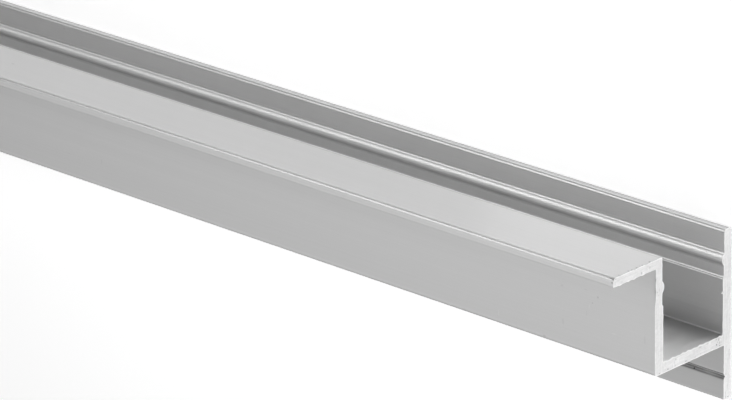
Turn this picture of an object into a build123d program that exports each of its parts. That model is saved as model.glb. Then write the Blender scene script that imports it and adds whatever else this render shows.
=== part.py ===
from build123d import *
import math
import os

os.makedirs("parts", exist_ok=True)

# One length of extruded aluminium profile for an LED strip.
# Axes: X along the length, Y across the section (from the screw leg's free
# edge to the flange's visible face), Z up from the plate's outer face, on
# which the length lies. Millimetres.
# Section positions are given as h, measured along Y from the underside of
# the channel's floor, and z, measured from the plate's outer face.

# ---- driving dimensions ----
length = 1000.0

h_top = 16.5            # plate's upper edge and flange's visible face
h_bottom = -7.94        # free edge of the screw leg
floor_t = 1.6           # channel floor

leg_t = 1.35            # plate below the channel
channel_back_t = 1.64   # plate beside the strip
rest_back_t = 1.47      # plate between the cover's step and the bead
upper_back_t = 1.39     # plate above the bead
plate_edge_r = 0.40     # plate's upper edge, outer side
plate_inner_r = 0.50    # plate's upper edge, inner side
leg_outer_r = 0.30      # leg's free edge, outer side
leg_inner_r = 0.15      # leg's free edge, inner side

strip_clear = 12.2      # channel's clear width for a 12 mm strip
front_outer = 15.44     # front wall's outer face
front_rest_z = 14.05    # front wall's inner face above the cover's step
step_low = 9.60         # step that a cover's feet rest on, foot of its slope
step_high = 9.70        # the same, head of its slope
step_r = 0.16           # the step's round edge and the hollow beside it

bead_h = 12.22          # middle of the snap beads
bead_r = 1.05           # crown
bead_root_r = 0.50      # hollow radius where they run into the wall
plate_bead_z = 1.85     # top of the plate's bead
front_bead_z = 13.66    # top of the front wall's bead

flange_t = 1.35
flange_tip = 23.75
flange_tip_r = 0.50     # visible long edge of the tip
flange_under_r = 0.20   # hidden long edge of the tip
flange_inner_r = 0.30   # edge between the flange's face and the channel
inner_r = 0.15          # hollow corners of channel, flange and leg
front_bottom_r = 0.44   # long edge under the front wall

groove_h = -4.57        # drill guide in the screw leg
groove_w = 0.76
groove_depth = 0.28
groove_root_r = 0.10

front_inner = channel_back_t + strip_clear

# the section lies in the middle of its own box across the length
h_mid = (h_top + h_bottom) / 2


def bead(above, below, crown, out):
    """Corner points of a snap bead from its upper root to its lower one, as (h, z, radius).

    The crown and the two hollow roots are arcs tangent to each other and to
    the wall. above and below are the z of the wall's face on the bead's two
    sides, crown is the z of its top, and out is +1 or -1, the side that it
    stands out to.
    """
    centre = crown - out * bead_r
    roots, turns = [], []
    for way, wall in ((1, above), (-1, below)):
        rise = (crown - wall) * out
        turn = math.acos((bead_r + bead_root_r - rise) / (bead_r + bead_root_r))
        # a corner lies where the tangents of neighbouring arcs cross
        drop = rise - bead_r * (1 - math.cos(turn))
        h = bead_h + way * (bead_r * math.sin(turn) + drop / math.tan(turn))
        roots.append((h, wall, bead_root_r))
        turns.append(turn)
    reach = bead_r / math.cos((turns[0] + turns[1]) / 2)
    lean = (turns[0] - turns[1]) / 2
    top = (bead_h + reach * math.sin(lean), centre + out * reach * math.cos(lean), bead_r)
    return [roots[0], top, roots[1]]


# the section's corners in order, each with the radius that rounds it
corners = [
    (h_bottom, 0.0, leg_outer_r),
    (h_top, 0.0, plate_edge_r),
    (h_top, upper_back_t, plate_inner_r),
    *bead(upper_back_t, rest_back_t, plate_bead_z, 1),
    (step_high, rest_back_t, step_r),
    (step_low, channel_back_t, step_r),
    (floor_t, channel_back_t, inner_r),
    (floor_t, front_inner, inner_r),
    (step_low, front_inner, step_r),
    (step_high, front_rest_z, step_r),
    *bead(front_rest_z, front_rest_z, front_bead_z, -1)[::-1],
    (h_top, front_rest_z, flange_inner_r),
    (h_top, flange_tip, flange_tip_r),
    (h_top - flange_t, flange_tip, flange_under_r),
    (h_top - flange_t, front_outer, inner_r),
    (0.0, front_outer, front_bottom_r),
    (0.0, leg_t, inner_r),
    (groove_h + groove_w / 2, leg_t, 0.0),
    (groove_h, leg_t - groove_depth, groove_root_r),
    (groove_h - groove_w / 2, leg_t, 0.0),
    (h_bottom, leg_t, leg_inner_r),
]


def rounded_outline(points):
    """Straight edges between the corners, with a tangent arc at each corner that has a radius."""
    runs, n = [], len(points)
    for i in range(n):
        h, z, r = points[i]
        before = Vector(points[i - 1][0] - h, points[i - 1][1] - z)
        after = Vector(points[(i + 1) % n][0] - h, points[(i + 1) % n][1] - z)
        here = Vector(h, z)
        if r == 0.0:
            runs.append((here, None, here))
            continue
        a, b = before.normalized(), after.normalized()
        half = math.radians(a.get_angle(b)) / 2
        back = r / math.tan(half)
        middle = here + (a + b).normalized() * (r / math.sin(half) - r)
        runs.append((here + a * back, middle, here + b * back))
    edges = []
    for i in range(n):
        start, middle, end = runs[i]
        if middle is not None:
            edges.append(ThreePointArc(start, middle, end))
        following = runs[(i + 1) % n][0]
        if (following - end).length > 1e-6:
            edges.append(Line(end, following))
    return edges


outline = rounded_outline(corners)
section = make_face(Wire(outline))
print("section area mm2", round(section.area, 3))

# the sketch's first axis is h and its second is z, and it is swept along X
place = Plane(
    origin=(-length / 2, -h_mid, 0), x_dir=(0, 1, 0), z_dir=(1, 0, 0)
)
profile = extrude(place * section, amount=length, dir=(1, 0, 0))
profile.label = "led_profile"

box = profile.bounding_box()
print("box", [round(v, 3) for v in (*box.min, *box.max)])
print("volume mm3", round(profile.volume, 1), "valid", profile.is_valid)
print("solids", len(profile.solids()))

export_step(profile, "parts/led_profile.step")
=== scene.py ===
import math

import bpy
import numpy as np
from mathutils import Matrix, Vector


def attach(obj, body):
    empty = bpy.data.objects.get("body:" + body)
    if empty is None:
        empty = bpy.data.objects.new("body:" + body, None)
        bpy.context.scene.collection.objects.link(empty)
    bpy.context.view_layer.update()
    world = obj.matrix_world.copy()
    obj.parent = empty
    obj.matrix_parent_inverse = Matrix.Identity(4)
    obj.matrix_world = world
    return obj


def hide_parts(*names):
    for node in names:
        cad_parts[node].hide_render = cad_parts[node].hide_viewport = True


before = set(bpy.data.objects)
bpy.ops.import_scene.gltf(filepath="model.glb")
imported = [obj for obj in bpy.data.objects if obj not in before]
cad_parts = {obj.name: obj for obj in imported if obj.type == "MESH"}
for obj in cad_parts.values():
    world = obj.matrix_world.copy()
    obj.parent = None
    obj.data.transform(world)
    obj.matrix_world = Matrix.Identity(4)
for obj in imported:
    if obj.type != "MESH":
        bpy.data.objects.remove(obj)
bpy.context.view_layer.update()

MM = 0.001

# ---- the section, millimetres: h from the underside of the channel's floor, z from the plate's outer face ----
LENGTH = 1000.0
H_TOP, H_BOTTOM = 16.5, -7.94
FLOOR_T = 1.6
LEG_T, CHANNEL_BACK_T, REST_BACK_T, UPPER_BACK_T = 1.35, 1.64, 1.47, 1.39
FRONT_OUTER, FRONT_INNER, FRONT_REST = 15.44, 13.84, 14.05
STEP_LOW, STEP_HIGH = 9.60, 9.70
BEAD_H, BEAD_R, BEAD_ROOT_R = 12.22, 1.05, 0.50
PLATE_BEAD_Z, FRONT_BEAD_Z = 1.85, 13.66
FLANGE_T, FLANGE_TIP = 1.35, 23.75
GROOVE_H, GROOVE_W, GROOVE_DEPTH = -4.57, 0.76, 0.28
H_MID = (H_TOP + H_BOTTOM) / 2


def bead(above, below, crown, out):
    """Corner points of a snap bead from its upper root to its lower one: h, z, radius."""
    centre = crown - out * BEAD_R
    both = BEAD_R + BEAD_ROOT_R
    roots, turns = [], []
    for way, wall in ((1, above), (-1, below)):
        rise = (crown - wall) * out
        turn = math.acos((both - rise) / both)
        drop = rise - BEAD_R * (1 - math.cos(turn))
        roots.append((BEAD_H + way * (BEAD_R * math.sin(turn) + drop / math.tan(turn)), wall, BEAD_ROOT_R))
        turns.append(turn)
    reach = BEAD_R / math.cos((turns[0] + turns[1]) / 2)
    lean = (turns[0] - turns[1]) / 2
    top = (BEAD_H + reach * math.sin(lean), centre + out * reach * math.cos(lean), BEAD_R)
    return [roots[0], top, roots[1]]


# h, z, radius of each corner in turn: the metal is on the side that z rises to along the first run
CORNERS = [
    (H_BOTTOM, 0.0, 0.30),
    (H_TOP, 0.0, 0.40),
    (H_TOP, UPPER_BACK_T, 0.50),
    *bead(UPPER_BACK_T, REST_BACK_T, PLATE_BEAD_Z, 1),
    (9.87, REST_BACK_T, 0.03),  # the plate's step falls in two small slopes
    (9.70, 1.555, 0.03),
    (9.61, 1.555, 0.03),
    (9.48, CHANNEL_BACK_T, 0.03),
    (FLOOR_T, CHANNEL_BACK_T, 0.15),
    (FLOOR_T, FRONT_INNER, 0.15),
    (STEP_LOW, FRONT_INNER, 0.16),
    (STEP_HIGH, FRONT_REST, 0.16),
    *bead(FRONT_REST, FRONT_REST, FRONT_BEAD_Z, -1)[::-1],
    (H_TOP, FRONT_REST, 0.30),
    (H_TOP, FLANGE_TIP, 0.50),
    (H_TOP - FLANGE_T, FLANGE_TIP, 0.20),
    (H_TOP - FLANGE_T, FRONT_OUTER, 0.15),
    (0.0, FRONT_OUTER, 0.44),
    (0.0, LEG_T, 0.15),
    (GROOVE_H + GROOVE_W / 2, LEG_T, 0.11),
    (GROOVE_H, LEG_T - GROOVE_DEPTH, 0.10),
    (GROOVE_H - GROOVE_W / 2, LEG_T, 0.11),
    (H_BOTTOM, LEG_T, 0.15),
]


# painted shade and highlight lines that run the whole length beside the corners: h, z, half width in mm, darker (-) or
# lighter (+)
PAINTED_LINES = [
    (11.72, 1.72, 0.16, -0.15),    # underside of the plate's bead
    (9.785, 1.51, 0.08, 0.20),     # both slopes of the plate's step and the strip between them
    (9.655, 1.555, 0.04, -0.20),
    (9.545, 1.60, 0.06, 0.22),
    (7.62, 1.64, 0.10, 0.0),
    (1.66, 1.68, 0.08, 1.00),      # corner of plate and floor, a painted highlight
    (16.25, 1.33, 0.10, -0.07),    # plate's upper edge
    (16.08, 1.38, 0.10, -0.12),
    (16.48, 1.08, 0.14, 0.10),
    (13.22, 1.39, 0.07, -0.16),    # above the bead
    (13.52, 1.39, 0.12, 0.07),
    (16.39, 23.56, 0.10, 0.19),    # flange's tip
    (15.30, 23.75, 0.07, -0.08),
    (15.20, 23.70, 0.07, -0.10),
    (-4.25, 1.31, 0.10, -0.55),    # drill groove, painted shade inside, with a painted highlight line
    (-4.39, 1.20, 0.06, 1.20),
    (-4.56, 1.09, 0.12, -0.36),
    (-4.67, 1.13, 0.08, -0.28),
    (-4.90, 1.32, 0.18, -0.34),
]

# painted light and shade: a tone for each face of the section, set by how bright the face is beside its neighbours:
# h from and to, z from and to, darker (-) or lighter (+)
PAINTED_TONES = [
    (16.20, 16.60, -0.10, 0.98, -0.13),     # plate's upper edge
    (12.12, 13.13, 1.40, 2.00, 0.200),      # bead, upper side and crown, a painted highlight
    (12.68, 12.94, 1.40, 2.00, -0.020),
    (11.20, 12.12, 1.48, 2.00, -0.02),
    (9.86, 11.16, 1.40, 1.50, 0.085),       # plate between step and bead
    (4.50, 9.50, 1.60, 1.70, 0.03),         # plate beside the strip
    (1.80, 4.50, 1.60, 1.70, -0.02),
    (16.40, 16.60, 14.20, 23.40, -0.090),   # flange, and its edge towards the channel
    (16.20, 16.60, 13.95, 14.58, -0.110),
    (16.09, 16.38, 23.50, 23.80, -0.175),   # its tip's round edge
    (0.40, 15.00, 15.40, 15.50, -0.037),    # front wall
    (-0.10, 0.45, 14.90, 15.50, -0.070),
    (-7.90, -0.10, 1.20, 1.40, -0.14),      # leg, painted shade
]
# across the channel's floor: z and tone, which stand in for part of its shading
FLOOR_TONES = ((1.6, 2.4, 3.5, 5.0, 6.5, 8.0, 9.5, 13.8), (-0.16, -0.16, -0.12, 0.02, 0.14, 0.19, 0.22, 0.22))


def die_lines(s, length, amplitude, rng):
    """Height in mm of the fine ridges that the die leaves, at the places s of one flat run."""
    d = np.zeros_like(s)
    for wave in (0.31, 0.53, 0.9, 1.7, 3.1):
        d += np.sin(2 * math.pi * (s / wave + rng.random())) * amplitude * 0.3 * (wave / 1.7) ** 0.8
    for _ in range(int(length * 0.9)):
        at, wide = rng.random() * length, 0.05 + 0.12 * rng.random()
        d += amplitude * rng.uniform(-1.0, 0.5) * np.exp(-(((s - at) / wide) ** 2))
    rim = np.clip(np.minimum(s, length - s) / 0.35, 0, 1)
    return d * rim * rim * (3 - 2 * rim)


def amplitude_of(h, z, nh, nz):
    """How deep a run's die lines are, in mm."""
    if nz > 0.9:
        if abs(z - CHANNEL_BACK_T) < 0.01:
            return 0.0022
        if z < 2:
            return 0.0014
        return 0.0008
    if nh > 0.9:
        return 0.0006 if h > 10 else 0.0010
    return 0.0015


def outline(corners, arc_deg=6.0, run_mm=0.12):
    """The section's outline as rows of h, z, normal h, normal z, edge and arc length.

    edge is 1 on a convex rounded corner and fades to 0 beside it. The second result is
    how far a ring inside the outline may stand off each point before it crosses itself.
    """
    rng = np.random.default_rng(11)
    n = len(corners)
    arcs = []
    for i in range(n):
        p = np.array(corners[i][:2])
        a = np.array(corners[i - 1][:2]) - p
        b = np.array(corners[(i + 1) % n][:2]) - p
        a, b = a / np.linalg.norm(a), b / np.linalg.norm(b)
        r = corners[i][2]
        na, nb = np.array([-a[1], a[0]]), np.array([b[1], -b[0]])
        inside = math.acos(max(-1.0, min(1.0, float(a @ b))))
        centre = p + (a + b) / np.linalg.norm(a + b) * (r / math.sin(inside / 2))
        count = 2 if r < 0.1 else max(3, int(math.ceil(math.degrees(math.pi - inside) / arc_deg)))
        ang_a, ang_b = math.atan2(na[1], na[0]), math.atan2(nb[1], nb[0])
        d = (ang_b - ang_a + math.pi) % (2 * math.pi) - math.pi
        arc = []
        for k in range(count + 1):
            ang = ang_a + d * k / count
            nrm = np.array([math.cos(ang), math.sin(ang)])
            convex = float(nrm @ (p - centre)) > 0
            q = centre + (nrm if convex else -nrm) * r
            arc.append((q[0], q[1], nrm[0], nrm[1], 1.0 if convex and 0.1 <= r < 0.6 else 0.0, 0.7 * r if convex or r < 0.1 else 1.0))
        arcs.append(arc)
    rows = []
    for i in range(n):
        rows += arcs[i]
        start, end = np.array(arcs[i][-1]), np.array(arcs[(i + 1) % n][0])
        length = float(np.linalg.norm(end[:2] - start[:2]))
        count = int(length / run_mm)
        if length < 0.06:
            continue
        count = max(count, 4)
        s = np.arange(1, count) / count * length
        along = (end[:2] - start[:2]) / length
        # more places where a painted line of light or shade runs
        for h_line, z_line, half, _ in PAINTED_LINES:
            at = np.array([h_line, z_line]) - start[:2]
            where = float(at @ along)
            if abs(at[0] * along[1] - at[1] * along[0]) < 0.05 and -0.1 < where < length + 0.1:
                s = np.concatenate([s, where + half * np.array([-1.4, -0.7, 0.0, 0.7, 1.4])])
        rim = 0.02 if length > 0.3 else 0.008
        s = np.sort(s[(s > rim) & (s < length - rim)])
        s = s[np.concatenate([[True], np.diff(s) > 0.012])]
        count = len(s) + 1
        nrm = start[2:4]
        d = die_lines(s, length, amplitude_of(*start[:4]), rng)
        slope = np.gradient(d, s) if count > 3 else np.zeros_like(s)
        for k in range(count - 1):
            q = start[:2] + along * s[k] + nrm * d[k]
            m = nrm - along * slope[k]
            m = m / np.linalg.norm(m)
            fade = max(start[4] * math.exp(-((s[k] / 0.16) ** 2)), end[4] * math.exp(-(((length - s[k]) / 0.16) ** 2)))
            rows.append((q[0], q[1], m[0], m[1], fade, 1.0))
    rows = np.array(rows)
    gap = np.linalg.norm(np.roll(rows[:, :2], -1, axis=0) - rows[:, :2], axis=1)
    rows = rows[gap > 1e-5]
    step = np.linalg.norm(np.roll(rows[:, :2], -1, axis=0) - rows[:, :2], axis=1)
    arc_length = np.concatenate([[0.0], np.cumsum(step)[:-1]])
    return np.column_stack([rows[:, :5], arc_length]), rows[:, 5]


section, room = outline(CORNERS)
# painted shade and highlights along the outline, from the painted lines
painted_line = sum(
    amount * np.exp(-(np.hypot(section[:, 0] - h_line, section[:, 1] - z_line) / half) ** 2)
    for h_line, z_line, half, amount in PAINTED_LINES
)


def inside(value, low, high, soft=0.12):
    """1 between low and high and 0 outside, with soft edges."""
    return np.clip((value - low) / soft + 0.5, 0, 1) * np.clip((high - value) / soft + 0.5, 0, 1)


# painted light and shade for each face, and painted shade across the channel's floor
painted_tone = sum(inside(section[:, 0], *t[:2]) * inside(section[:, 1], *t[2:4]) * t[4] for t in PAINTED_TONES)
painted_tone = painted_tone + np.where(
    (section[:, 2] > 0.8) & (section[:, 0] < 2) & (section[:, 0] > 1), np.interp(section[:, 1], *FLOOR_TONES), 0
)
print("section points", len(section), "outline mm", round(float(section[-1, 5]), 2))


# ---- materials ----
class Graph:
    """Short calls for the nodes that the materials share."""

    def __init__(self, name):
        self.mat = bpy.data.materials.new(name)
        self.mat.use_nodes = True
        self.nt = self.mat.node_tree
        self.nt.nodes.clear()
        out = self.node("ShaderNodeOutputMaterial")
        self.bsdf = self.node("ShaderNodeBsdfPrincipled")
        self.nt.links.new(self.bsdf.outputs["BSDF"], out.inputs["Surface"])
        self.where = self.node("ShaderNodeTexCoord").outputs["Object"]

    def node(self, kind):
        return self.nt.nodes.new(kind)

    def put(self, socket, value):
        if isinstance(value, bpy.types.NodeSocket):
            self.nt.links.new(value, socket)
        else:
            socket.default_value = value

    def math(self, op, a, b=0.0, c=0.0):
        n = self.node("ShaderNodeMath")
        n.operation = op
        for socket, value in zip(n.inputs, (a, b, c)):
            self.put(socket, value)
        return n.outputs["Value"]

    def scaled(self, scale, shift=(0, 0, 0)):
        n = self.node("ShaderNodeMapping")
        self.put(n.inputs["Vector"], self.where)
        n.inputs["Scale"].default_value = scale
        n.inputs["Location"].default_value = shift
        return n.outputs["Vector"]

    def noise(self, vector, detail=2.0, rough=0.5, scale=1.0, distort=0.0):
        n = self.node("ShaderNodeTexNoise")
        self.put(n.inputs["Vector"], vector)
        n.inputs["Scale"].default_value = scale
        n.inputs["Detail"].default_value = detail
        n.inputs["Roughness"].default_value = rough
        n.inputs["Distortion"].default_value = distort
        return n.outputs["Fac"]

    def ramp(self, value, low, high, to_low=0.0, to_high=1.0, smooth=True):
        n = self.node("ShaderNodeMapRange")
        n.interpolation_type = "SMOOTHSTEP" if smooth else "LINEAR"
        self.put(n.inputs["Value"], value)
        n.inputs["From Min"].default_value = low
        n.inputs["From Max"].default_value = high
        n.inputs["To Min"].default_value = to_low
        n.inputs["To Max"].default_value = to_high
        return n.outputs["Result"]

    def spot(self, at, half, amount):
        """A soft mark round the point at, amount strong in its middle and 0 beyond its half sizes (metres)."""
        n = self.scaled(tuple(1 / s for s in half), tuple(-a / s for a, s in zip(at, half)))
        size = self.node("ShaderNodeVectorMath")
        size.operation = "LENGTH"
        self.put(size.inputs[0], n)
        return self.ramp(size.outputs["Value"], 0.25, 1.0, amount, 0.0)

    def attribute(self, name):
        n = self.node("ShaderNodeAttribute")
        n.attribute_name = name
        return n.outputs["Fac"]

    def grey(self, value, tint):
        n = self.node("ShaderNodeCombineColor")
        for socket, t in zip(n.inputs, tint):
            self.put(socket, self.math("MULTIPLY", value, t))
        return n.outputs["Color"]

    def bump(self, height, distance, before=None, strength=1.0):
        n = self.node("ShaderNodeBump")
        n.inputs["Strength"].default_value = strength
        n.inputs["Distance"].default_value = distance
        self.put(n.inputs["Height"], height)
        if before is not None:
            self.put(n.inputs["Normal"], before)
        return n.outputs["Normal"]


# painted light and shade on the long faces over short stretches beside the near cut, and a nick:
# x, h, z, half sizes along them, darker (-) or lighter (+)
NEAR_SHADE_AND_MARKS = [
    (499.90, 1.62, 6.00, 1.90, 0.40, 4.20, 0.20),      # channel's floor, painted light and shade
    (494.60, 1.62, 7.60, 2.60, 0.40, 3.60, -0.11),
    (499.82, 16.50, 16.35, 0.20, 0.30, 0.26, -0.30),   # painted shade of dents in the flange's rim
    (499.86, 16.50, 17.85, 0.16, 0.30, 0.22, -0.26),
    (499.80, 16.50, 18.30, 0.16, 0.30, 0.16, -0.18),
    (499.84, 16.50, 18.95, 0.16, 0.30, 0.18, -0.26),
    (499.86, 16.50, 19.90, 0.16, 0.30, 0.22, -0.26),
    (499.82, 16.50, 20.55, 0.18, 0.30, 0.20, -0.26),
    (499.80, 16.50, 22.40, 0.18, 0.30, 0.16, -0.24),
    (499.84, 15.85, 23.75, 0.20, 0.22, 0.20, -0.34),
    (492.00, 16.40, 23.54, 26.0, 0.15, 0.15, 0.18),    # tip's round edge, a painted highlight
    (495.00, 9.79, 1.51, 14.0, 0.14, 0.14, 0.22),      # plate's step, a painted highlight
    (494.80, -4.80, 1.28, 0.20, 0.14, 0.30, -0.45),    # nick in the groove
]
# small marks on the front wall's outer face: x, h, half sizes along x and h, how much darker (-) or lighter (+)
FRONT_MARKS = [
    (490.16, 8.60, 0.20, 0.20, -0.16),
    (489.20, 7.54, 0.18, 0.18, -0.12),
    (488.65, 6.93, 0.14, 0.42, 0.05),
    (488.20, 5.83, 0.14, 0.60, -0.04),
    (483.88, 8.61, 0.30, 0.22, -0.06),
    (488.04, 9.15, 0.40, 0.14, -0.05),
    (484.02, 3.50, 0.30, 0.60, -0.05),
    (472.49, 1.56, 0.16, 0.60, 0.04),
    (498.25, 4.78, 0.22, 0.90, -0.04),
    (492.91, 4.18, 0.55, 0.14, 0.04),
    (395.25, 4.05, 0.18, 0.50, -0.05),
]
METAL_BASE, METAL_ROUGH, METAL_METALLIC = 0.74, 0.46, 0.60


def extruded_metal():
    g = Graph("satin_aluminium")
    streaks = g.noise(g.scaled((4, 5200, 5200)), 3.0, 0.55)
    bands = g.noise(g.scaled((7, 900, 900), (3.1, 0.7, 1.9)), 2.0, 0.5)
    mottle = g.noise(g.scaled((70, 160, 160)), 2.0, 0.5)
    grain = g.noise(g.scaled((9000, 14000, 14000)), 2.0, 0.6)
    edge = g.attribute("edge")
    lip = g.attribute("lip")
    # painted light and shade along the section: lines beside the corners and a tone for each face
    painted_line_here = g.attribute("painted_line")
    painted_tone_here = g.attribute("painted_tone")

    shade = g.math("MULTIPLY_ADD", streaks, 0.050, METAL_BASE - 0.025)
    shade = g.math("MULTIPLY_ADD", bands, 0.030, g.math("SUBTRACT", shade, 0.015))
    shade = g.math("MULTIPLY_ADD", mottle, 0.024, g.math("SUBTRACT", shade, 0.012))
    shade = g.math("MULTIPLY_ADD", grain, 0.022, g.math("SUBTRACT", shade, 0.011))
    shade = g.math("MULTIPLY_ADD", edge, 0.030, shade)
    # fine dark pits, few and far apart
    cell = g.node("ShaderNodeTexVoronoi")
    g.put(cell.inputs["Vector"], g.scaled((260, 520, 520)))
    cell.inputs["Scale"].default_value = 1.0
    pit = g.ramp(cell.outputs["Distance"], 0.05, 0.11, 1.0, 0.0)
    pick = g.node("ShaderNodeSeparateColor")
    g.put(pick.inputs["Color"], cell.outputs["Color"])
    pit = g.math("MULTIPLY", pit, g.ramp(pick.outputs["Red"], 0.93, 0.95))
    shade = g.math("MULTIPLY_ADD", pit, -0.10, shade)
    for x, h, half_x, half_h, amount in FRONT_MARKS:
        at = (x * MM, (h - H_MID) * MM, FRONT_OUTER * MM)
        shade = g.math("ADD", shade, g.spot(at, (half_x * MM, half_h * MM, 0.6 * MM), amount))
    # painted light and shade beside the near cut, and a nick
    for x, h, z, half_x, half_h, half_z, amount in NEAR_SHADE_AND_MARKS:
        at = (x * MM, (h - H_MID) * MM, z * MM)
        shade = g.math("ADD", shade, g.spot(at, (half_x * MM, half_h * MM, half_z * MM), amount))
    # painted lines of light and shade, broken here and there along the length
    worn = g.ramp(g.noise(g.scaled((220, 500, 500), (0.4, 2.2, 1.1)), 2.0, 0.6), 0.25, 0.6, 0.65, 1.1)
    shade = g.math("MULTIPLY_ADD", painted_line_here, worn, shade)
    # add the painted light and shade of each face
    shade = g.math("MAXIMUM", g.math("ADD", shade, painted_tone_here), 0.08)
    # bare metal on the lip of the cut
    shade = g.math("ADD", shade, g.math("MULTIPLY", lip, 0.16))
    shade = g.math("MINIMUM", shade, 0.98)
    g.put(g.bsdf.inputs["Base Color"], g.grey(shade, (1.0, 1.0, 1.0)))

    dull = g.math("MULTIPLY_ADD", streaks, 0.07, METAL_ROUGH - 0.035)
    dull = g.math("MULTIPLY_ADD", grain, 0.05, g.math("SUBTRACT", dull, 0.025))
    dull = g.math("MULTIPLY_ADD", mottle, 0.04, g.math("SUBTRACT", dull, 0.02))
    dull = g.math("MULTIPLY_ADD", edge, -0.06, dull)
    dull = g.math("MULTIPLY_ADD", lip, -0.08, dull)
    g.put(g.bsdf.inputs["Roughness"], dull)
    g.bsdf.inputs["Metallic"].default_value = METAL_METALLIC

    lines = g.bump(streaks, 2.5e-6)
    lines = g.bump(bands, 4.0e-6, lines)
    g.put(g.bsdf.inputs["Normal"], g.bump(grain, 1.2e-6, lines))
    return g.mat


# torn and smeared places on the near end's face: h, z, half sizes along h and z, darker (-) or lighter (+)
END_MARKS = [
    # flange's end
    (15.48, 18.12, 0.30, 0.16, -0.26),
    (15.40, 17.75, 0.18, 0.26, 0.10),
    (15.75, 16.50, 0.30, 0.30, -0.12),
    (15.62, 16.75, 0.24, 0.12, 0.12),
    (16.05, 16.90, 0.14, 0.40, -0.10),
    (15.55, 19.90, 0.13, 0.16, 0.12),
    (15.22, 19.35, 0.13, 0.24, 0.12),
    (15.26, 20.70, 0.12, 0.20, 0.10),
    (15.76, 22.22, 0.12, 0.20, 0.12),
    (15.50, 22.00, 0.12, 0.36, -0.07),
    (16.24, 23.20, 0.15, 0.18, -0.24),
    (15.60, 23.30, 0.40, 0.12, -0.08),
    (16.40, 17.90, 0.12, 0.22, 0.14),
    (16.36, 19.20, 0.12, 0.26, 0.14),
    (16.40, 20.15, 0.10, 0.18, 0.12),
    (16.40, 16.30, 0.12, 0.20, 0.14),
    # front wall's end
    (13.79, 15.10, 0.34, 0.16, -0.09),
    (12.04, 14.59, 0.42, 0.12, -0.12),
    (11.81, 14.96, 0.18, 0.16, -0.14),
    (11.33, 14.77, 0.16, 0.14, -0.12),
    # floor's end
    (1.12, 2.50, 0.17, 0.14, -0.34),
    (0.68, 2.34, 0.28, 0.13, -0.24),
    (0.26, 2.27, 0.13, 0.18, -0.34),
    (0.58, 2.93, 0.20, 0.15, -0.44),
    (0.88, 2.74, 0.20, 0.12, -0.20),
    (1.38, 2.48, 0.12, 0.22, -0.26),
    (1.36, 2.98, 0.12, 0.24, -0.22),
    (1.05, 2.12, 0.22, 0.14, 0.14),
    (1.18, 11.24, 0.15, 0.18, -0.28),
    (1.28, 6.25, 0.13, 0.36, -0.16),
    (1.30, 4.85, 0.12, 0.20, -0.14),
    (0.25, 9.20, 0.13, 0.26, -0.30),
    (0.22, 7.30, 0.12, 0.26, -0.16),
    (0.30, 12.85, 0.15, 0.20, -0.30),
    (0.22, 14.55, 0.12, 0.20, -0.24),
    (0.30, 11.35, 0.15, 0.16, -0.18),
    (0.36, 6.20, 0.12, 0.30, -0.10),
    (0.62, 13.42, 0.13, 0.17, 0.14),
    (1.38, 1.85, 0.16, 0.22, 0.14),
    (1.28, 4.30, 0.28, 0.22, 0.11),
    (0.45, 4.30, 0.14, 0.20, 0.10),
    (0.14, 3.80, 0.13, 0.26, 0.16),
    (0.90, 10.76, 0.60, 0.20, 0.07),
    (0.45, 11.68, 0.36, 0.13, 0.10),
    (0.70, 11.48, 0.50, 0.10, -0.09),
    (0.50, 11.95, 0.40, 0.10, -0.07),
    # plate's end
    (7.95, 0.30, 0.10, 0.50, -0.10),
    (5.90, 0.85, 0.70, 0.12, -0.08),
    (-4.62, 0.88, 0.22, 0.16, 0.12),
    (-4.30, 1.00, 0.20, 0.14, -0.14),
    (-6.20, 0.62, 0.60, 0.12, -0.14),
    (-7.10, 0.95, 0.50, 0.12, -0.16),
    (-7.70, 0.50, 0.14, 0.34, -0.30),
    (-7.60, 1.05, 0.30, 0.12, -0.20),
    (-1.20, 0.34, 0.70, 0.12, -0.10),
    (0.95, 0.92, 0.55, 0.13, -0.11),
]
SAWN_BASE, SAWN_ROUGH = 0.87, 0.5


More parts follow.
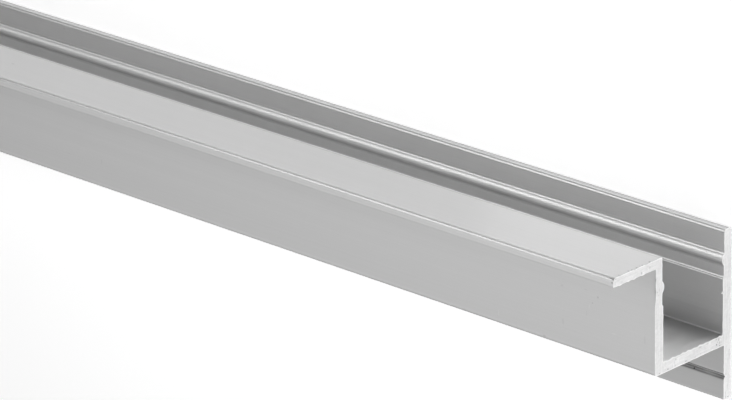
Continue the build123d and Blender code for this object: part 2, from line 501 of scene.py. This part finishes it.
def sawn_metal():
    g = Graph("sawn_aluminium")
    # the blade's teeth leave long arcs that run nearly along the plate
    away = g.node("ShaderNodeVectorMath")
    away.operation = "MULTIPLY_ADD"
    g.put(away.inputs[0], g.where)
    away.inputs[1].default_value = (0, 1, 1)
    away.inputs[2].default_value = (0, -0.012, 0.135)
    radius = g.node("ShaderNodeVectorMath")
    radius.operation = "LENGTH"
    g.put(radius.inputs[0], away.outputs["Vector"])
    r = radius.outputs["Value"]

    def arcs(per_m, detail):
        n = g.node("ShaderNodeTexNoise")
        n.noise_dimensions = "1D"
        g.put(n.inputs["W"], g.math("MULTIPLY", r, per_m))
        n.inputs["Scale"].default_value = 1.0
        n.inputs["Detail"].default_value = detail
        return n.outputs["Fac"]

    fine, wide = arcs(7000.0, 2.0), arcs(1700.0, 1.0)
    smear = g.noise(g.scaled((300, 420, 2000), (0.2, 1.3, 0.4)), 2.0, 0.55, distort=0.8)
    apart = g.node("ShaderNodeSeparateXYZ")
    g.put(apart.inputs[0], g.where)
    deep = apart.outputs["Z"]
    # streaks that run along each wall: along z on the floor's and the flange's ends, else along h
    crosswise = g.math("MULTIPLY", g.ramp(deep, 1.5 * MM, 1.9 * MM), g.ramp(deep, 13.6 * MM, 14.0 * MM, 1.0, 0.0))
    crosswise = g.math("ADD", crosswise, g.ramp(deep, 15.2 * MM, 15.6 * MM))
    upright = g.noise(g.scaled((300, 380, 5200), (0.3, 0.9, 0.1)), 2.0, 0.55, distort=0.3)
    level = g.noise(g.scaled((300, 5200, 420), (0.6, 0.2, 1.7)), 2.0, 0.55, distort=0.3)
    streak = g.math("MULTIPLY_ADD", g.math("SUBTRACT", level, upright), crosswise, upright)
    dapple = g.noise(g.scaled((1500, 2600, 2100), (0.7, 0.1, 2.4)), 2.0, 0.5)
    patch = g.noise(g.scaled((300, 420, 420)), 2.0, 0.5)
    grain = g.noise(g.scaled((9000, 11000, 11000)), 2.0, 0.6)
    rim = g.attribute("rim")

    shade = g.math("MULTIPLY_ADD", smear, 0.08, SAWN_BASE - 0.04)
    shade = g.math("MULTIPLY_ADD", streak, 0.26, g.math("SUBTRACT", shade, 0.13))
    shade = g.math("MULTIPLY_ADD", dapple, 0.14, g.math("SUBTRACT", shade, 0.07))
    shade = g.math("MULTIPLY_ADD", fine, 0.05, g.math("SUBTRACT", shade, 0.025))
    shade = g.math("MULTIPLY_ADD", patch, 0.08, g.math("SUBTRACT", shade, 0.04))
    shade = g.math("MULTIPLY_ADD", grain, 0.18, g.math("SUBTRACT", shade, 0.09))
    # painted light: the plate's end is lighter
    shade = g.math("ADD", shade, g.ramp(deep, 1.2 * MM, 1.8 * MM, 0.08, 0.0))
    for h, z, half_h, half_z, amount in END_MARKS:
        at = (LENGTH / 2 * MM, (h - H_MID) * MM, z * MM)
        shade = g.math("ADD", shade, g.spot(at, (2 * MM, half_h * MM, half_z * MM), amount))
    shade = g.math("MULTIPLY_ADD", rim, 0.26, shade)
    shade = g.math("MINIMUM", shade, 1.0)
    g.put(g.bsdf.inputs["Base Color"], g.grey(shade, (1.0, 1.0, 1.0)))

    dull = g.math("MULTIPLY_ADD", smear, 0.10, SAWN_ROUGH - 0.05)
    dull = g.math("MULTIPLY_ADD", rim, -0.10, dull)
    g.put(g.bsdf.inputs["Roughness"], dull)
    g.bsdf.inputs["Metallic"].default_value = 1.0

    marks = g.bump(fine, 7.0e-6)
    marks = g.bump(wide, 1.2e-5, marks)
    g.put(g.bsdf.inputs["Normal"], g.bump(grain, 3.0e-6, marks))
    return g.mat


metal = extruded_metal()
sawn = sawn_metal()


# ---- the profile ----
def along_noise(s, seed, size, period):
    """Smooth noise along the closed outline, about -1 to 1, with features of the given size in mm."""
    rng = np.random.default_rng(seed)
    count = max(4, int(round(period / size)))
    knots = rng.uniform(-1, 1, count)
    t = s / period * count
    i = np.floor(t).astype(int)
    f = t - i
    f = f * f * (3 - 2 * f)
    return knots[i % count] * (1 - f) + knots[(i + 1) % count] * f


def zones():
    """Where the outline's points lie on the section, as masks."""
    h, z, nh, nz, _, s = section.T
    return {
        "flange_face": (nh > 0.8) & (h > 10) & (z > 14.2),
        "flange_under": (nh < -0.8) & (h > 10) & (z > 15.4),
        "floor_top": (nh > 0.8) & (h < 3) & (h > 1),
        "floor_under": (nh < -0.8) & (h < 1) & (h > -1),
        "wall_inside": (nz < -0.6) & (z > 13),
        "wall_outside": (nz > 0.8) & (z > 15) & (z < 16),
        "plate_inside": (nz > 0.6) & (z < 2.2),
        "plate_outside": (nz < -0.6) & (z < 0.5),
        "tip": (nz > 0.6) & (z > 23),
    }


# what the saw left on the near end's rim: place along the face in mm (h or z), half width, height out of the face, how bright
NEAR_LUMPS = {
    "floor_top": [
        (2.30, 0.22, 0.10, 0.7), (3.55, 0.25, 0.05, 0.4), (5.10, 0.22, 0.06, 0.5), (6.40, 0.30, 0.15, 0.9),
        (7.55, 0.20, 0.07, 0.5), (8.70, 0.30, 0.14, 1.0), (9.80, 0.26, 0.15, 1.0), (10.90, 0.22, 0.07, 0.6),
        (11.90, 0.30, 0.16, 1.0), (13.40, 0.30, 0.13, 0.9),
    ],
    "flange_face": [
        (14.90, 0.35, 0.02, 0.3), (17.10, 0.35, -0.06, -0.5), (18.30, 0.30, 0.02, 0.3), (19.40, 0.40, -0.07, -0.6),
        (20.60, 0.35, 0.02, 0.3), (22.30, 0.30, -0.05, -0.4),
    ],
    "flange_under": [
        (16.40, 0.25, 0.03, 0.2), (17.80, 0.28, 0.09, 0.7), (19.60, 0.26, 0.10, 0.8), (20.70, 0.22, 0.07, 0.6),
        (22.30, 0.28, 0.10, 0.8),
    ],
    "plate_inside": [(7.62, 0.12, 0.36, 0.9), (3.20, 0.30, 0.04, 0.3), (-3.10, 0.30, 0.04, 0.3), (14.60, 0.30, 0.03, 0.2)],
    "wall_outside": [(13.60, 0.17, -0.08, -0.6), (11.95, 0.17, -0.08, -0.6)],
    "wall_inside": [(8.10, 0.20, 0.04, 0.2), (11.10, 0.16, 0.05, 0.3), (15.30, 0.20, 0.03, 0.2)],
}


def burr(seed, near):
    """The saw cut's ragged lip, for each outline point: offset out of the outline in mm, and how bright its rim is."""
    h, z, nh, nz, _, s = section.T
    period = s[-1] + 0.05
    where = zones()

    def lumps(k, size, cut):
        return np.clip(along_noise(s, seed + k, size, period) - cut, 0, 1) / (1 - cut)

    off = 0.014 * along_noise(s, seed, 0.3, period)
    rim = np.full_like(s, 0.30) + 0.25 * along_noise(s, seed + 1, 0.5, period)
    fine = 0.5 + 0.5 * along_noise(s, seed + 2, 0.21, period)

    m = where["floor_under"]
    off[m] = (0.04 * lumps(4, 0.6, 0.1) + 0.02 * fine)[m]
    rim[m] = (0.30 + 0.60 * fine)[m]
    m = where["wall_inside"]
    off[m] = (0.03 + 0.03 * fine)[m]
    rim[m] = np.where(h > 4, 1.0, 0.55)[m]
    m = where["wall_outside"]
    off[m] = (0.02 * fine - 0.005)[m]
    rim[m] = (0.15 + 0.3 * fine)[m]
    m = where["plate_inside"]
    off[m] = (0.02 + 0.03 * lumps(8, 0.6, 0.2))[m]
    rim[m] = (0.75 + 0.25 * fine)[m]
    m = where["plate_outside"]
    off[m] = (-0.02 * fine)[m]
    m = where["floor_top"]
    off[m] = (0.03 * fine - (0.07 if near else 0.01))[m]
    rim[m] = (0.25 + 0.3 * fine)[m]
    m = where["flange_face"]
    off[m] = (0.02 * fine - (0.07 if near else 0.01))[m]
    rim[m] = (0.35 + 0.3 * fine)[m]
    if near:
        # the front wall's outer edge stands back above its middle
        m = where["wall_outside"]
        worn = np.clip((h - 9.9) / 0.8, 0, 1)
        off -= np.where(m, 0.145 * worn * worn * (3 - 2 * worn), 0)
    else:
        m = where["floor_top"]
        off += np.where(m, 0.16 * lumps(3, 0.75, 0.15), 0)
        rim += np.where(m, lumps(3, 0.75, 0.15), 0)
        m = where["flange_face"]
        dents = lumps(5, 0.9, 0.0)
        off -= np.where(m, 0.14 * dents * dents, 0)
        rim -= np.where(m, 0.5 * dents, 0)
        m = where["flange_under"]
        off += np.where(m, 0.09 * lumps(7, 0.8, 0.2), 0)
        rim += np.where(m, lumps(7, 0.8, 0.2), 0)
    # the lips run into each other smoothly
    kernel = np.exp(-(np.arange(-2, 3) ** 2) / 2.0)
    kernel /= kernel.sum()
    off = np.convolve(np.concatenate([off[-2:], off, off[:2]]), kernel, "valid")
    rim = np.convolve(np.concatenate([rim[-2:], rim, rim[:2]]), kernel, "valid")
    if near:
        for name, marks in NEAR_LUMPS.items():
            along = h if name in ("plate_inside", "wall_outside", "wall_inside") else z
            for at, half, height, bright in marks:
                near_it = np.where(where[name], np.exp(-(np.abs(along - at) / half) ** 2.5), 0)
                off += height * near_it
                rim += bright * near_it
    return off, np.clip(rim, 0, 1)


def build_profile():
    h, z, nh, nz, edge, s = section.T
    n = len(section)
    lip_near, rim_near = burr(21, True)
    lip_far, rim_far = burr(51, False)
    # the tip's visible corner is knocked back a little at the near end
    knock = 0.10 * np.exp(-(((z - FLANGE_TIP) ** 2 + (h - H_TOP) ** 2) / 0.35**2))

    end_t = np.array([0.0, 0.03, 0.07, 0.13, 0.22, 0.36, 0.6, 1.2, 2.5])
    fall = np.exp(-((end_t / 0.15) ** 1.3))
    rings, lips = [], []  # place along the length and outward offset; how bare the lip is
    for t, f in zip(end_t, fall):
        rings.append((-LENGTH / 2 + t, lip_far * f))
        lips.append(np.clip(lip_far / 0.10, 0, 1) * f)
    for x in np.linspace(-LENGTH / 2, LENGTH / 2, 13)[1:-1]:
        rings.append((x, np.zeros(n)))
        lips.append(np.zeros(n))
    for t, f in list(zip(end_t, fall))[::-1]:
        rings.append((LENGTH / 2 - t, lip_near * f - knock * math.exp(-t / 0.25)))
        lips.append(np.clip(lip_near / 0.10, 0, 1) * f)
    m = len(rings)
    X = np.array([r[0] for r in rings])
    off = np.array([r[1] for r in rings])
    H = h[None, :] + nh[None, :] * off
    Z = z[None, :] + nz[None, :] * off
    # normals: the section's own, leant over where the lip flares
    lean = np.gradient(off, X, axis=0)
    step_s = np.maximum(np.gradient(s), 1e-3)
    across = np.gradient(off, axis=1) / step_s[None, :]
    tan_h, tan_z = nz[None, :], -nh[None, :]
    step_h = np.roll(h, -1) - h
    step_z = np.roll(z, -1) - z
    sign = np.sign(np.sum(step_h * nz - step_z * nh))
    NX = -lean
    NH = nh[None, :] - sign * tan_h * across
    NZ = nz[None, :] - sign * tan_z * across
    size = np.sqrt(NX**2 + NH**2 + NZ**2)
    NX, NH, NZ = NX / size, NH / size, NZ / size

    side_pos = np.stack([np.broadcast_to(X[:, None], H.shape), H - H_MID, Z], axis=-1).reshape(-1, 3)
    side_nrm = np.stack([NX, NH, NZ], axis=-1).reshape(-1, 3)

    def inset(row, x, by):
        """A ring inside the outline of the cut."""
        back = np.minimum(by, room if by > 0.1 else 0.55 * room)
        return np.stack([np.full(n, x), H[row] - nh * back - H_MID, Z[row] - nz * back], axis=-1)

    bevel_in, flat_in, drop = 0.05, 0.20, 0.015
    half = LENGTH / 2
    # the cut's face lies at the full length, and its rim is rounded down by drop
    X_rim_near, X_rim_far = half - drop, -half + drop
    side_pos = side_pos.reshape(m, n, 3)
    side_pos[-1, :, 0] = X_rim_near
    side_pos[0, :, 0] = X_rim_far
    side_pos = side_pos.reshape(-1, 3)
    pos = np.concatenate(
        [side_pos, inset(-1, half, bevel_in), inset(-1, half, flat_in), inset(0, -half, bevel_in), inset(0, -half, flat_in)]
    ) * MM
    near_a, near_b, far_a, far_b = (np.arange(4) + m) * n
    i = np.arange(n)
    k = (i + 1) % n
    quads, loops_n = [], []
    for j in range(m - 1):
        q = np.stack([j * n + i, j * n + k, (j + 1) * n + k, (j + 1) * n + i], axis=-1)
        quads.append(q)
        loops_n.append(side_nrm[q])
    side_faces = np.concatenate(quads)
    side_loops = np.concatenate(loops_n)

    def ring(outer, inner, way, lean_out):
        q = np.stack([outer + i, outer + k, inner + k, inner + i], axis=-1)
        flat = np.tile([way * 1.0, 0, 0], (n, 1))
        if lean_out:
            tilt = np.stack([np.full(n, way * 0.90), nh * 0.44, nz * 0.44], axis=-1)
        else:
            tilt = flat
        return q, np.stack([tilt[i], tilt[k], flat[k], flat[i]], axis=1)

    ends = [
        ring((m - 1) * n, near_a, 1, True),
        ring(near_a, near_b, 1, False),
        ring(0, far_a, -1, True),
        ring(far_a, far_b, -1, False),
    ]

    def faced(q, nrm):
        """The quads wound so that they look the way their normals do."""
        p = pos[q]
        geo = np.cross(p[:, 2] - p[:, 0], p[:, 3] - p[:, 1])
        if np.sum(geo * nrm.mean(axis=1)) < 0:
            return q[:, ::-1], nrm[:, ::-1]
        return q, nrm

    side_faces, side_loops = faced(side_faces, side_loops)
    ends = [faced(*e) for e in ends]

    def filled(rim, way):
        around = rim + i
        y, zz = pos[around, 1], pos[around, 2]
        area = 0.5 * np.sum(y * np.roll(zz, -1) - np.roll(y, -1) * zz)
        return list(around if area * way > 0 else around[::-1])

    quad_faces = np.concatenate([side_faces, *[e[0] for e in ends]])
    quad_loops = np.concatenate([side_loops, *[e[1] for e in ends]]).reshape(-1, 3)
    faces = [tuple(int(v) for v in f) for f in quad_faces]
    faces += [tuple(int(v) for v in filled(near_b, 1)), tuple(int(v) for v in filled(far_b, -1))]
    loops = np.concatenate([quad_loops, np.tile([1.0, 0, 0], (n, 1)), np.tile([-1.0, 0, 0], (n, 1))])
    mats = np.zeros(len(faces), dtype=np.int32)
    mats[len(side_faces):] = 1

    mesh = bpy.data.meshes.new("led_profile_body")
    mesh.from_pydata([tuple(v) for v in pos.tolist()], [], faces)
    mesh.update()
    mesh.materials.append(metal)
    mesh.materials.append(sawn)
    mesh.polygons.foreach_set("material_index", mats)
    mesh.polygons.foreach_set("use_smooth", np.ones(len(faces), dtype=bool))
    # the rim of each cut is a sharp edge
    pairs = np.zeros(len(mesh.edges) * 2, dtype=np.int32)
    mesh.edges.foreach_get("vertices", pairs)
    pairs = pairs.reshape(-1, 2)
    near_ring = (pairs >= (m - 1) * n) & (pairs < m * n)
    far_ring = pairs < n
    sharp = near_ring.all(axis=1) | far_ring.all(axis=1)
    mesh.edges.foreach_set("use_edge_sharp", sharp)
    mesh.normals_split_custom_set(loops.tolist())
    zero = np.zeros(n)
    for name, values in (
        ("edge", np.tile(edge, m + 4)),
        ("painted_line", np.tile(painted_line, m + 4)),
        ("painted_tone", np.tile(painted_tone, m + 4)),
        ("lip", np.concatenate([*lips, zero, zero, zero, zero])),
        ("rim", np.concatenate([rim_far, np.zeros(n * (m - 2)), rim_near, rim_near, zero, rim_far, zero])),
    ):
        attribute = mesh.attributes.new(name, "FLOAT", "POINT")
        attribute.data.foreach_set("value", values.astype(np.float32))
    obj = bpy.data.objects.new("led_profile_body", mesh)
    bpy.context.scene.collection.objects.link(obj)
    return obj


body = build_profile()
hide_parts("led_profile")
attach(body, "root")


# ---- floor ----
FLOOR_BASE = 0.95
FLOOR_GLOW = 0.51  # the table is lit from below


def build_floor():
    mesh = bpy.data.meshes.new("floor")
    s = 40.0
    mesh.from_pydata([(-s, -s, 0), (s, -s, 0), (s, s, 0), (-s, s, 0)], [], [(0, 1, 2, 3)])
    mesh.update()
    obj = bpy.data.objects.new("floor", mesh)
    bpy.context.scene.collection.objects.link(obj)
    g = Graph("pale_floor")
    faint = g.noise(g.scaled((40, 40, 40)), 3.0, 0.6)
    g.put(g.bsdf.inputs["Base Color"], g.grey(g.math("MULTIPLY_ADD", faint, 0.01, FLOOR_BASE - 0.005), (1.0, 1.0, 1.0)))
    g.bsdf.inputs["Roughness"].default_value = 0.9
    g.bsdf.inputs["Specular IOR Level"].default_value = 0.0
    g.bsdf.inputs["Emission Color"].default_value = (1.0, 1.0, 1.0, 1.0)
    g.bsdf.inputs["Emission Strength"].default_value = FLOOR_GLOW
    mesh.materials.append(g.mat)
    return obj


floor = build_floor()

# ---- light: a studio that is brighter on some sides than on others ----
# direction it comes from, degrees where it ends, strength
LOBES = [
    ((-0.648, 0.398, 0.649), 22, 0.70),
    ((-0.648, 0.197, 0.736), 22, 0.51),
    ((-0.648, -0.363, 0.669), 22, 0.72),
    ((0.6, -0.8, 0.05), 52, 0.57),
    ((-0.75, -0.65, 0.1), 52, 0.36),
]
# square panels round the sawn end: place and size in metres, strength; a panel faces the end, or the way that is given
PANELS = [
    ((0.176, 0.199, 0.337), 0.20, 0.29, None),
    ((0.370, 0.080, 0.142), 0.09, 1.62, None),
    ((-0.018, 0.318, 0.532), 0.32, 0.69, None),
    ((0.370, 0.052, 0.155), 0.08, 0.38, None),
    ((0.273, -0.127, 0.246), 0.14, 0.31, None),
    ((0.500, 0.000, 0.210), 0.20, 1.29, (0.0, 0.0, -1.0)),
    ((0.620, 0.000, 0.120), 0.20, 0.10, (0.0, 0.0, -1.0)),
    ((0.480, 0.036, 0.0005), 0.045, 0.27, (0.0, 0.0, 1.0)),
    # the rest of the length and the far end
    ((-0.100, 0.000, 0.230), 0.22, 0.30, (0.0, 0.0, -1.0)),
    ((-0.310, 0.000, 0.230), 0.22, 0.50, (0.0, 0.0, -1.0)),
    ((-0.520, 0.000, 0.230), 0.22, 0.70, (0.0, 0.0, -1.0)),
    ((-0.400, 0.080, 0.142), 0.09, 0.90, (-0.10, -0.08, -0.132)),
]


def studio_world():
    world = bpy.data.worlds.new("studio")
    bpy.context.scene.world = world
    world.use_nodes = True
    nt = world.node_tree
    background = nt.nodes["Background"]
    where = nt.nodes.new("ShaderNodeTexCoord")
    total = None
    for direction, ends, strength in LOBES:
        dot = nt.nodes.new("ShaderNodeVectorMath")
        dot.operation = "DOT_PRODUCT"
        nt.links.new(where.outputs["Generated"], dot.inputs[0])
        dot.inputs[1].default_value = Vector(direction).normalized()
        ramp = nt.nodes.new("ShaderNodeMapRange")
        ramp.interpolation_type = "SMOOTHSTEP"
        nt.links.new(dot.outputs["Value"], ramp.inputs["Value"])
        ramp.inputs["From Min"].default_value = math.cos(math.radians(ends))
        ramp.inputs["From Max"].default_value = 1.0
        ramp.inputs["To Min"].default_value = 0.0
        ramp.inputs["To Max"].default_value = strength
        if total is None:
            total = ramp.outputs["Result"]
            continue
        add = nt.nodes.new("ShaderNodeMath")
        add.operation = "ADD"
        nt.links.new(ramp.outputs["Result"], add.inputs[0])
        nt.links.new(total, add.inputs[1])
        total = add.outputs["Value"]
    background.inputs["Color"].default_value = (1, 1, 1, 1)
    nt.links.new(total, background.inputs["Strength"])


def studio_panels():
    for k, (place, size, strength, faces) in enumerate(PANELS):
        light = bpy.data.lights.new(f"panel_{k}", "AREA")
        light.shape = "SQUARE"
        light.size = size
        light.energy = math.pi * size * size * strength
        obj = bpy.data.objects.new(f"panel_{k}", light)
        bpy.context.scene.collection.objects.link(obj)
        obj.location = place
        way = Vector(faces) if faces else Vector((0.5, 0.0, 0.01)) - Vector(place)
        obj.rotation_euler = way.to_track_quat("-Z", "Y").to_euler()
        obj.visible_camera = False


studio_world()
studio_panels()

# ---- camera: at the photograph's viewing angle, which looks along the length towards its far end ----
FOCAL_PX, WIDTH_PX = 4816.1, 732.0
UNIT = 0.63 * MM  # the scale of the solved camera
YAW, PITCH, ROLL = (math.radians(d) for d in (44.11, 21.32, -1.24))


def solved_camera():
    cy, sy, cp, sp = math.cos(YAW), math.sin(YAW), math.cos(PITCH), math.sin(PITCH)
    fwd = np.array([-sy * cp, cy * cp, -sp])
    right = np.array([cy, sy, 0.0])
    up = np.cross(right, fwd)
    cr, sr = math.cos(ROLL), math.sin(ROLL)
    return cr * right + sr * up, -sr * right + cr * up, fwd


def row_axes(v):
    """From (along, back, up) as the photograph shows the profile to the row's axes: it lies on its back plate."""
    return Vector((v[0], v[2], -v[1]))


right, up, fwd = solved_camera()
# the ray to the front wall's lower corner at the sawn end, which is 1000 units away
px, py = (655.0 - 366.0) / FOCAL_PX, (376.3 - 200.0) / FOCAL_PX
ray = right * px - up * py + fwd
ray = ray / np.linalg.norm(ray)
corner = Vector((LENGTH / 2 * MM, (0.126 - H_MID) * MM, 24.5 * UNIT))
place = corner - row_axes(ray) * (1000 * UNIT)
cam_data = bpy.data.cameras.new("camera")
cam_data.sensor_width = 36.0
cam_data.lens = FOCAL_PX / WIDTH_PX * 36.0
cam_data.clip_start, cam_data.clip_end = 0.01, 200.0
cam = bpy.data.objects.new("camera", cam_data)
bpy.context.scene.collection.objects.link(cam)
r, u, f = row_axes(right), row_axes(up), row_axes(fwd)
cam.matrix_world = Matrix(
    (
        (r.x, u.x, -f.x, place.x),
        (r.y, u.y, -f.y, place.y),
        (r.z, u.z, -f.z, place.z),
        (0, 0, 0, 1),
    )
)
bpy.context.scene.camera = cam

# light passes between the channel's walls many times before it leaves
cycles = bpy.context.scene.cycles
cycles.max_bounces, cycles.glossy_bounces, cycles.diffuse_bounces = 24, 16, 8
bpy.context.scene.view_settings.view_transform = "Standard"
bpy.context.scene.view_settings.look = "None"

bpy.context.view_layer.update()
